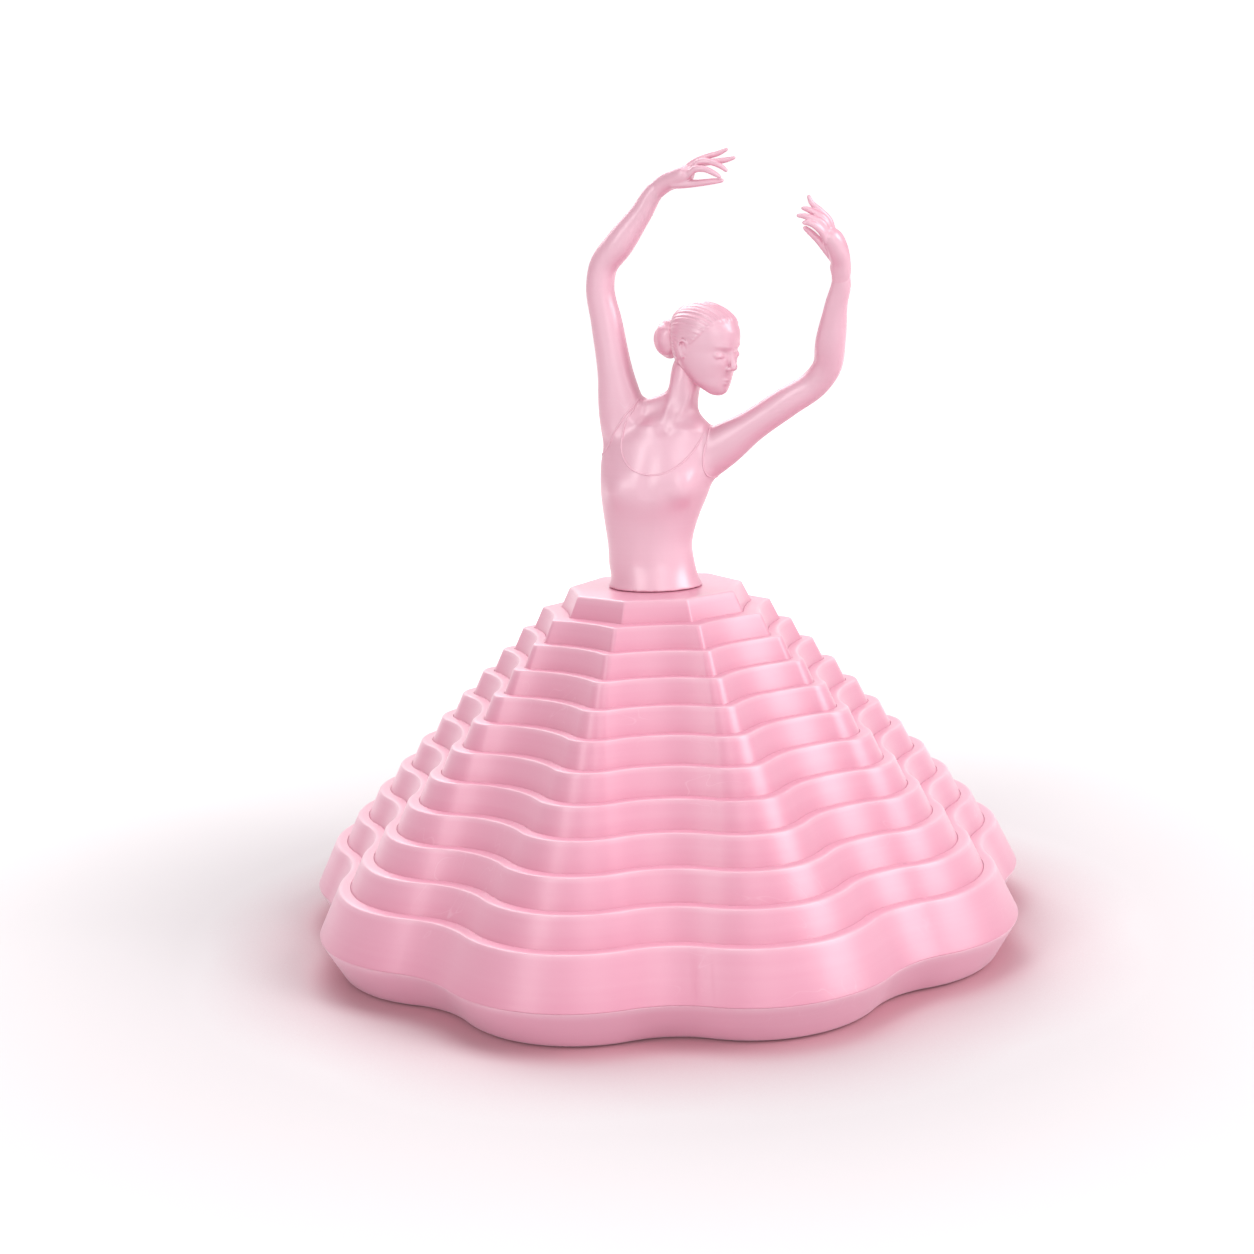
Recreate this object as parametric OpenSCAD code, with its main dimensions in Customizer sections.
// Ballerina jewellery box: a telescoping skirt of nested lobed rings on a shallow tray.
// The figure is screwed to the cap of the skirt and turns on it.
// Origin: centre of the flat underside. The front of the skirt faces -Y, +Z is up.

/* [Skirt] */
// Number of lobes round the skirt
lobes = 9; // [7:1:11]
// Number of tiers, the closed cap and the hem included
tiers = 12; // [12:1:12]
// Height of the cap's tier that stays in view
pitch_top = 4.1; // [3.6:0.1:5]
// How much more each lower tier shows than the one above it
pitch_growth = 0.13; // [0:0.01:0.2]
// How far a wall spreads outwards for each millimetre of height
flare = 0.48; // [0.3:0.01:0.6]
// Thickness of a ring's wall, which is also its ledge
wall = 1.9; // [1.4:0.1:2.6]
// Running gap between one ring and the next
ring_gap = 0.4; // [0.35:0.05:0.8]
// Height of each ring from its ledge to its lower edge
ring_h = 8; // [7:0.5:9]

/* [Cap] */
// Distance from the axis to the corners of the cap
cap_r = 17.5; // [16:0.5:22]
// Thickness of the cap's flat top
cap_t = 2; // [1.6:0.1:3]
// Extra width of the collar ledge just below the cap
collar_ledge = 1.5; // [0:0.1:3]

/* [Outline of the lobes] */
// Radius of a lobe's tip on the cap
tip_round_top = 0.8; // [0.5:0.1:2]
// Radius of a lobe's tip at the hem
tip_round_hem = 28; // [18:1:30]
// Hollowing of the sides on the cap
hollow_top = 0.1; // [0.05:0.01:0.4]
// Hollowing of the sides half way down the skirt
hollow_mid = 3; // [1.5:0.1:3.4]
// Hollowing of the sides at the hem
hollow_hem = 2.5; // [1.5:0.1:3.4]

/* [Hem and tray] */
// Height of the hem's wall from its ledge to the parting line
hem_h = 9; // [8.5:0.5:14]
// Height of the parting line, where the hem rests on the tray
parting_z = 8; // [6:0.5:10]
// How far the tray's underside is drawn in from the parting line
tray_draft = 4.5; // [2:0.5:6]
// Thickness of the tray's floor
floor_t = 2; // [1.6:0.1:3]
// Height of the tray's locating rim above the parting line
rim_h = 2.5; // [1.5:0.1:3]
// Thickness of the tray's locating rim
rim_t = 1.2; // [1:0.1:1.4]

/* [Figure] */
// Direction that the figure faces, in degrees from the front
figure_turn = -16; // [-180:1:180]
// Radius of the round foot of the bodice
foot_r = 9.6; // [8.5:0.1:11]
// Height from the cap to the shoulders
torso_h = 33; // [30:0.5:36]
// Radius of the waist
waist_r = 8.6; // [7.5:0.1:9.5]
// Half breadth of the chest
chest_r = 11.8; // [10.8:0.1:12.5]
// Radius of the neck
neck_r = 2.9; // [2.4:0.1:3.2]
// Height of the head from chin to crown
head_h = 16.6; // [15:0.2:18]
// Radius of the bun
bun_r = 3.9; // [3.4:0.1:4.4]
// Radius of the raised arm just past the shoulder
raised_arm_r = 3.6; // [3.2:0.1:4]
// Radius of the side arm just past the shoulder
side_arm_r = 3.3; // [3:0.1:3.8]
// Radius of an elbow
elbow_r = 2.8; // [2.4:0.1:3.2]
// Radius of a wrist
wrist_r = 1.7; // [1.4:0.1:2]
// Length of an upper arm
upper_arm_l = 31; // [28:0.5:33]
// Length of a forearm
forearm_l = 20.9; // [19:0.1:23]
// Length of a palm
palm_l = 8.8; // [8:0.1:10]
// Length of the longest finger past the palm
finger_l = 9.4; // [8:0.1:10]
// Radius of a finger at its root
finger_r = 0.75; // [0.6:0.05:0.9]

/* [Fastening] */
// Radius of the figure's peg, which turns in the cap
peg_r = 3; // [2.5:0.1:4]
// Running clearance round the peg
peg_play = 0.05; // [0.03:0.01:0.09]
// Radius of the screw's shank
shank_r = 1.2; // [0.9:0.1:1.5]
// Length of the screw's shank
shank_l = 9; // [7:0.5:12]
// Radius of the screw's head
screw_head_r = 2.6; // [2.2:0.1:3]
// Height of the screw's head
screw_head_h = 1.6; // [1.2:0.1:2]
// Radius of the washer
washer_r = 5; // [4.5:0.1:6]
// Thickness of the washer
washer_t = 0.8; // [0.6:0.1:1]

/* [Hidden] */

satin = [0.93, 0.68, 0.76];
pearl = [0.92, 0.66, 0.77];
steel = [0.72, 0.72, 0.74];

// Points on half a lobe: so many steps on the tip's arc and on the valley's.
tip_steps = 3;
valley_steps = 2;
half_lobe = 180 / lobes;
seat = 0.3; // clearance round the rim and under the rings when they are down
hem = tiers;

// ---- sizes of the tiers, counted from 1 at the cap to 12 at the hem ----
function pitch(k) = pitch_top + (k - 1) * pitch_growth;
function fall(k) = k >= hem ? 0 : pitch(k) + fall(k + 1);
function ledge_z(k) = parting_z + hem_h + fall(k);
function ring_wall(k) = wall + (k == 2 ? collar_ledge : 0);
function tip_r(k) = k <= 1 ? cap_r
    : tip_r(k - 1) + flare * pitch(k - 1) + ring_gap + ring_wall(k);
parting_r = tip_r(hem) + flare * hem_h;

// ---- one family of lobed outlines, from a sharp polygon to round lobes ----
function share(r) = max(0, (r - cap_r) / (parting_r - cap_r));
function tip_round(u) = tip_round_top + (tip_round_hem - tip_round_top) * u * u;
function hollow(u) = hollow_top * (1 - u) * (1 - 2 * u) + 4 * hollow_mid * u * (1 - u)
    + hollow_hem * u * (2 * u - 1);
function turned(p, a) = [p.x * cos(a) - p.y * sin(a), p.x * sin(a) + p.y * cos(a)];

// Half a lobe from the valley on the X axis to just before the tip, for the tip radius r.
function half_outline(r) = let (
    u = share(r),
    c = tip_round(u),
    m = r - c,
    b = m * cos(half_lobe) + c - hollow(u),
    q = (c * c - m * m - b * b + 2 * m * b * cos(half_lobe))
        / (2 * b - 2 * m * cos(half_lobe) - 2 * c),
    valley = [b + q, 0],
    tip = [m * cos(half_lobe), m * sin(half_lobe)],
    along = (valley - tip) / norm(valley - tip),
    lean = atan2(-along.y, along.x),
    spread = half_lobe + lean)
    concat(
        [for (i = [0 : valley_steps - 1])
            valley - q * [cos(lean * i / valley_steps), -sin(lean * i / valley_steps)]],
        [for (i = [0 : tip_steps - 1]) let (a = -lean + spread * i / tip_steps)
            tip + c * [cos(a), sin(a)]]);
function lobe_outline(r) = let (half = half_outline(r), n = len(half))
    concat(half, [turned([r, 0], half_lobe)],
        [for (i = [n - 1 : -1 : 1]) turned([half[i].x, -half[i].y], 2 * half_lobe)]);
function skirt_outline(r) = let (one = lobe_outline(r))
    [for (i = [0 : lobes - 1]) for (p = one) turned(p, -90 + 2 * half_lobe * i)];
function at_height(outline, z) = [for (p = outline) [p.x, p.y, z]];

// ---- solids made of rows of points ----
// A solid skin through closed rows of points that run on, end to start, as a loop of rows.
module looped_skin(rows) {
    n = len(rows[0]);
    m = len(rows);
    polyhedron([for (row = rows) for (p = row) p],
        [for (j = [0 : m - 1]) for (i = [0 : n - 1]) for (half = [0, 1])
            let (a = j * n + i, b = j * n + (i + 1) % n,
                c = ((j + 1) % m) * n + (i + 1) % n, d = ((j + 1) % m) * n + i)
            half == 0 ? [a, c, b] : [a, d, c]]);
}

// A solid skin through rows of points from the first to the last, closed at both ends.
module capped_skin(rows) {
    n = len(rows[0]);
    m = len(rows);
    polyhedron([for (row = rows) for (p = row) p],
        concat(
            [for (j = [0 : m - 2]) for (i = [0 : n - 1]) for (half = [0, 1])
                let (a = j * n + i, b = j * n + (i + 1) % n,
                    c = (j + 1) * n + (i + 1) % n, d = (j + 1) * n + i)
                half == 0 ? [a, c, b] : [a, d, c]],
            [[for (i = [0 : n - 1]) i]],
            [[for (i = [n - 1 : -1 : 0]) (m - 1) * n + i]]));
}

// A flared lobed ring with its ledge at height z and tip radius r.
module flared_ring(r, z, h, t) {
    looped_skin([
        at_height(skirt_outline(r + flare * h), z - h),
        at_height(skirt_outline(r), z),
        at_height(skirt_outline(r - t), z),
        at_height(skirt_outline(r - t + flare * h), z - h)]);
}

module skirt_ring(k) {
    color(satin)
        flared_ring(tip_r(k), ledge_z(k), ring_h, ring_wall(k));
}

module top_cap() {
    z = ledge_z(1);
    color(satin)
        difference() {
            capped_skin([
                at_height(skirt_outline(cap_r + flare * ring_h), z - ring_h),
                at_height(skirt_outline(cap_r), z)]);
            capped_skin([
                at_height(skirt_outline(cap_r - wall + flare * (ring_h + 1)), z - ring_h - 1),
                at_height(skirt_outline(cap_r - wall + flare * cap_t), z - cap_t)]);
            translate([0, 0, z - cap_t - 1])
                cylinder(r = peg_r + peg_play, h = cap_t + 2, $fn = 64);
        }
}

module hem_ring() {
    color(satin)
        flared_ring(tip_r(hem), ledge_z(hem), hem_h, wall);
}

// Flat underside, drawn-in side, shoulder for the hem, locating rim and flat floor.
module tray() {
    top = parting_z + rim_h;
    rim_r = parting_r - wall - seat;
    well_r = rim_r - flare * rim_h - rim_t;
    color(satin)
        capped_skin([
            at_height(skirt_outline(parting_r - tray_draft), 0),
            at_height(skirt_outline(parting_r), parting_z),
            at_height(skirt_outline(rim_r), parting_z),
            at_height(skirt_outline(rim_r - flare * rim_h), top),
            at_height(skirt_outline(well_r), top),
            at_height(skirt_outline(well_r), floor_t)]);
}

// ---- the figure, in its own frame: its foot is on z = 0 and it faces -Y ----
foot_gap = 0.1; // between the foot and the cap, which it turns on
end_play = 0.3; // between the cap and the washer
fit_play = 0.05; // round a pin glued or screwed in its hole
body_sides = 24;
limb_sides = 12;
finger_sides = 6;

module placed_figure() {
    translate([0, 0, ledge_z(1) + foot_gap])
        rotate([0, 0, figure_turn])
            children();
}

// An upright oval row of a body, with its own depth to the front and to the back.
function oval(x, y, z, side, front, back) = [for (i = [0 : body_sides - 1])
    let (a = 360 * i / body_sides)
    [x + side * cos(a), y + (sin(a) < 0 ? front : back) * sin(a), z]];

// A row across a limb at p, facing along d: a is its breadth across the view, b its depth.
function unit(v) = v / norm(v);
function limb_row(p, d, a, b, sides) = let (
    across = unit(cross(d, [0, -1, 0])),
    out = unit(cross(across, d)))
    [for (i = [0 : sides - 1]) let (t = 360 * i / sides)
        p + a * cos(t) * across - b * sin(t) * out];

// A limb through stations of [point, breadth, depth], closed at both ends.
module limb(stations, sides = limb_sides) {
    last = len(stations) - 1;
    capped_skin([for (i = [0 : last])
        limb_row(stations[i][0],
            unit(stations[min(last, i + 1)][0] - stations[max(0, i - 1)][0]),
            stations[i][1], stations[i][2], sides)]);
}

// A box that fills the space ahead of the plane through p that faces d.
module ahead(p, d, size, length) {
    u = unit(d);
    translate(p)
        rotate([0, acos(u.z), atan2(u.y, u.x)])
            translate([-size / 2, -size / 2, 0])
                cube([size, size, length]);
}

// ---- the arms: bones of named lengths, each with its own direction ----
// "Raised" is the arm over the head, "side" is the one held out to the side.
function along(p, way, length) = p + unit(way) * length;
side_shoulder = [9.5, 0, torso_h - 8.5];
side_elbow = along(side_shoulder, [26.1, -2, 16.5], upper_arm_l);
side_wrist = along(side_elbow, [4.8, -8, 18.7], forearm_l);
side_knuckles = along(side_wrist, [-2.1, -3.6, 7.8], palm_l);
raised_shoulder = [-5, 0, torso_h - 2];
raised_elbow = along(raised_shoulder, [-3.6, -2, 30.6], upper_arm_l);
raised_wrist = along(raised_elbow, [13.6, -2, 15.7], forearm_l);
raised_knuckles = along(raised_wrist, [8.4, -1.5, 2.4], palm_l);
// Flat seams at the armholes, square to the upper arms.
side_seam = between(side_shoulder, side_elbow, 0.17);
raised_seam = between(raised_shoulder, raised_elbow, 0.1);
seam_box = 13;

function between(a, b, t) = a + (b - a) * t;

// The stations next to the seam, which the arm and the torso's stump share. None of them
// lies in the seam itself, so the cut runs through clean skin.
function shoulder_stations(shoulder, seam, elbow, r) = [
    [between(shoulder, elbow, -0.16), r * 1.3, r * 0.95],
    [shoulder, r * 1.42, r * 1.15],
    [between(seam, elbow, 0.06), r * 1.32, r * 1.1],
    [between(seam, elbow, 0.3), r, r]];

module arm(shoulder, seam, elbow, wrist, knuckles, r) {
    limb(concat(shoulder_stations(shoulder, seam, elbow, r), [
        [between(seam, elbow, 0.65), between(r, elbow_r, 0.6), elbow_r * 1.1],
        [between(seam, elbow, 0.92), elbow_r, elbow_r],
        [between(elbow, wrist, 0.08), elbow_r, elbow_r],
        [between(elbow, wrist, 0.35), elbow_r * 1.03, elbow_r * 1.03],
        [between(elbow, wrist, 0.7), between(wrist_r, elbow_r, 0.45), wrist_r * 1.2],
        [wrist, wrist_r, wrist_r * 0.85],
        [between(wrist, knuckles, 0.45), wrist_r * 1.25, wrist_r],
        [between(wrist, knuckles, 0.85), wrist_r * 1.6, wrist_r * 0.7],
        [knuckles, wrist_r * 1.45, wrist_r * 0.45]]));
}

// The fingers of a hand: where each starts from the wrist to the knuckles, how far to one
// side, the way its two parts point, and its share of the finger's full length.
module fingers(wrist, knuckles, rows) {
    for (row = rows) {
        root = between(wrist, knuckles, row[0]) + row[1] * finger_r;
        joint = along(root, row[2], finger_l * row[4] * 0.55);
        tip = along(joint, row[3], finger_l * row[4] * 0.45);
        limb([
            [root, finger_r, finger_r],
            [joint, finger_r * 0.9, finger_r * 0.9],
            [between(joint, tip, 0.8), finger_r * 0.75, finger_r * 0.75],
            [tip, finger_r * 0.4, finger_r * 0.4]], finger_sides);
    }
}

module side_limb() {
    arm(side_shoulder, side_seam, side_elbow, side_wrist, side_knuckles, side_arm_r);
}

module raised_limb() {
    arm(raised_shoulder, raised_seam, raised_elbow, raised_wrist, raised_knuckles,
        raised_arm_r);
}

// The bodice, from its round foot on the cap up to the neck.
module bodice() {
    capped_skin([
        oval(0, 0, 0, foot_r, foot_r * 0.86, foot_r * 0.86),
        oval(-0.1, 0, torso_h * 0.05, foot_r * 0.93, foot_r * 0.8, foot_r * 0.8),
        oval(-0.6, 0, torso_h * 0.14, waist_r * 1.02, waist_r * 0.78, waist_r * 0.76),
        oval(-0.8, 0, torso_h * 0.24, waist_r, waist_r * 0.78, waist_r * 0.72),
        oval(-0.3, 0, torso_h * 0.42, waist_r * 1.13, waist_r * 0.88, waist_r * 0.8),
        oval(0.6, 0, torso_h * 0.56, chest_r * 0.93, chest_r * 0.8, chest_r * 0.62),
        oval(1.3, 0, torso_h * 0.68, chest_r * 0.99, chest_r * 0.78, chest_r * 0.6),
        oval(1.8, 0, torso_h * 0.8, chest_r, chest_r * 0.62, chest_r * 0.57),
        oval(2.2, 0, torso_h * 0.9, chest_r * 0.92, chest_r * 0.5, chest_r * 0.51),
        oval(3.2, 0, torso_h * 0.97, chest_r * 0.76, chest_r * 0.4, chest_r * 0.42),
        oval(4.2, 0.1, torso_h * 1.02, chest_r * 0.5, chest_r * 0.32, chest_r * 0.34),
        oval(5, 0.2, torso_h * 1.07, neck_r * 1.3, neck_r * 1.1, neck_r * 1.15),
        oval(5.7, 0.3, torso_h * 1.14, neck_r * 1.06, neck_r, neck_r)]);
}

// The round neck, which plugs into the head; play widens it for the socket.
module neck(play) {
    translate([5.3, 0.3, torso_h + 1.5])
        rotate([0, neck_lean, 0])
            cylinder(r = neck_r + play, h = neck_l + play, $fn = 48);
}

peg_l = cap_t + foot_gap + end_play;
module torso() {
    color(pearl)
        placed_figure()
            difference() {
                union() {
                    bodice();
                    limb(shoulder_stations(side_shoulder, side_seam, side_elbow, side_arm_r));
                    limb(shoulder_stations(raised_shoulder, raised_seam, raised_elbow,
                        raised_arm_r));
                    neck(0);
                    translate([0, 0, -peg_l])
                        cylinder(r = peg_r, h = peg_l + 1, $fn = 64);
                }
                ahead(side_seam, side_elbow - side_shoulder, seam_box, seam_box);
                ahead(raised_seam, raised_elbow - raised_shoulder, seam_box, seam_box);
                translate([0, 0, -peg_l - 1])
                    cylinder(r = shank_r + fit_play, h = shank_l + 1.5, $fn = 32);
            }
}

// ---- the head, in its own frame: the chin is at the front on z = 0 ----
neck_lean = 14;
neck_l = 8.5;
head_at = [10.1, 0.2, torso_h + 6.1];
head_yaw = 64;
head_nod = 14;

module skull() {
    h = head_h;
    capped_skin([for (row = [
        // height, half breadth, front, back, each as a share of the head's height
        [0.00, 0.09, 0.34, -0.20],
        [0.05, 0.16, 0.39, -0.04],
        [0.14, 0.24, 0.42, 0.12],
        [0.26, 0.295, 0.43, 0.28],
        [0.38, 0.325, 0.44, 0.38],
        [0.50, 0.34, 0.43, 0.44],
        [0.64, 0.345, 0.43, 0.46],
        [0.78, 0.32, 0.40, 0.44],
        [0.89, 0.25, 0.31, 0.35],
        [0.97, 0.13, 0.17, 0.20],
        [1.00, 0.05, 0.07, 0.08]])
        let (mid = (row[3] - row[2]) / 2, deep = (row[3] + row[2]) / 2)
        oval(0, mid * h, row[0] * h, row[1] * h, deep * h, deep * h)]);
}

module head() {
    color(pearl)
        placed_figure()
            difference() {
                translate(head_at)
                    rotate([head_nod, 0, head_yaw])
                        union() {
                            skull();
                            translate([0, head_h * 0.5, head_h * 0.47])
                                sphere(r = bun_r, $fn = 32);
                        }
                neck(fit_play);
            }
}

// The side arm, on the right as seen from the front.
module right_arm() {
    color(pearl)
        placed_figure()
            difference() {
                union() {
                    side_limb();
                    fingers(side_wrist, side_knuckles, [
                        [0.92, [0, 1, 0], [-2, -2, 5], [-2, 0, 4], 0.9],
                        [0.94, [0, -0.2, 0], [-3, -2, 4.2], [-4, 0.5, 1], 0.86],
                        [0.9, [0, -1.2, 0], [-3, -2, 3.4], [-4, 0.5, 0.6], 0.72],
                        [0.84, [0, -2, 0], [-3, -2, 2.4], [-4, 0.5, -0.8], 0.6],
                        [0.5, [-1, 1.6, 0], [-4, -1, 4], [-3, -1, 4], 0.62]]);
                }
                ahead(side_seam, side_shoulder - side_elbow, seam_box, seam_box);
            }
}

// The raised arm, on the left as seen from the front.
module left_arm() {
    color(pearl)
        placed_figure()
            difference() {
                union() {
                    raised_limb();
                    fingers(raised_wrist, raised_knuckles, [
                        [0.93, [0, 0.8, 0.6], [5, -1, 2.6], [4, 0, 1.8], 0.82],
                        [0.95, [0, 0, 0], [5, -1, 1], [4, 0, 1.1], 0.88],
                        [0.92, [0, -0.8, -0.7], [5, -1, -0.4], [4, 0, -0.5], 0.76],
                        [0.86, [0, -1.6, -1.4], [5, -1, -1.2], [4, 0, -0.6], 0.7],
                        [0.45, [0, -1.4, -0.6], [5, -2, -1.4], [4, -1, -0.2], 0.76]]);
                }
                ahead(raised_seam, raised_shoulder - raised_elbow, seam_box, seam_box);
            }
}

// ---- the fastening under the cap ----
module figure_washer() {
    z = -peg_l - washer_t;
    color(steel)
        placed_figure()
            translate([0, 0, z])
                difference() {
                    cylinder(r = washer_r, h = washer_t, $fn = 64);
                    translate([0, 0, -1])
                        cylinder(r = shank_r + fit_play, h = washer_t + 2, $fn = 32);
                }
}

module figure_screw() {
    z = -peg_l - washer_t;
    color(steel)
        placed_figure()
            union() {
                translate([0, 0, z - screw_head_h])
                    cylinder(r = screw_head_r, h = screw_head_h, $fn = 48);
                translate([0, 0, z - 0.5])
                    cylinder(r = shank_r, h = shank_l + 0.5, $fn = 32);
            }
}

tray();
hem_ring();
skirt_ring(11);  // ring_11
skirt_ring(10);  // ring_10
skirt_ring(9);  // ring_09
skirt_ring(8);  // ring_08
skirt_ring(7);  // ring_07
skirt_ring(6);  // ring_06
skirt_ring(5);  // ring_05
skirt_ring(4);  // ring_04
skirt_ring(3);  // ring_03
skirt_ring(2);  // ring_02
top_cap();
torso();
head();
left_arm();
right_arm();
figure_screw();
figure_washer();
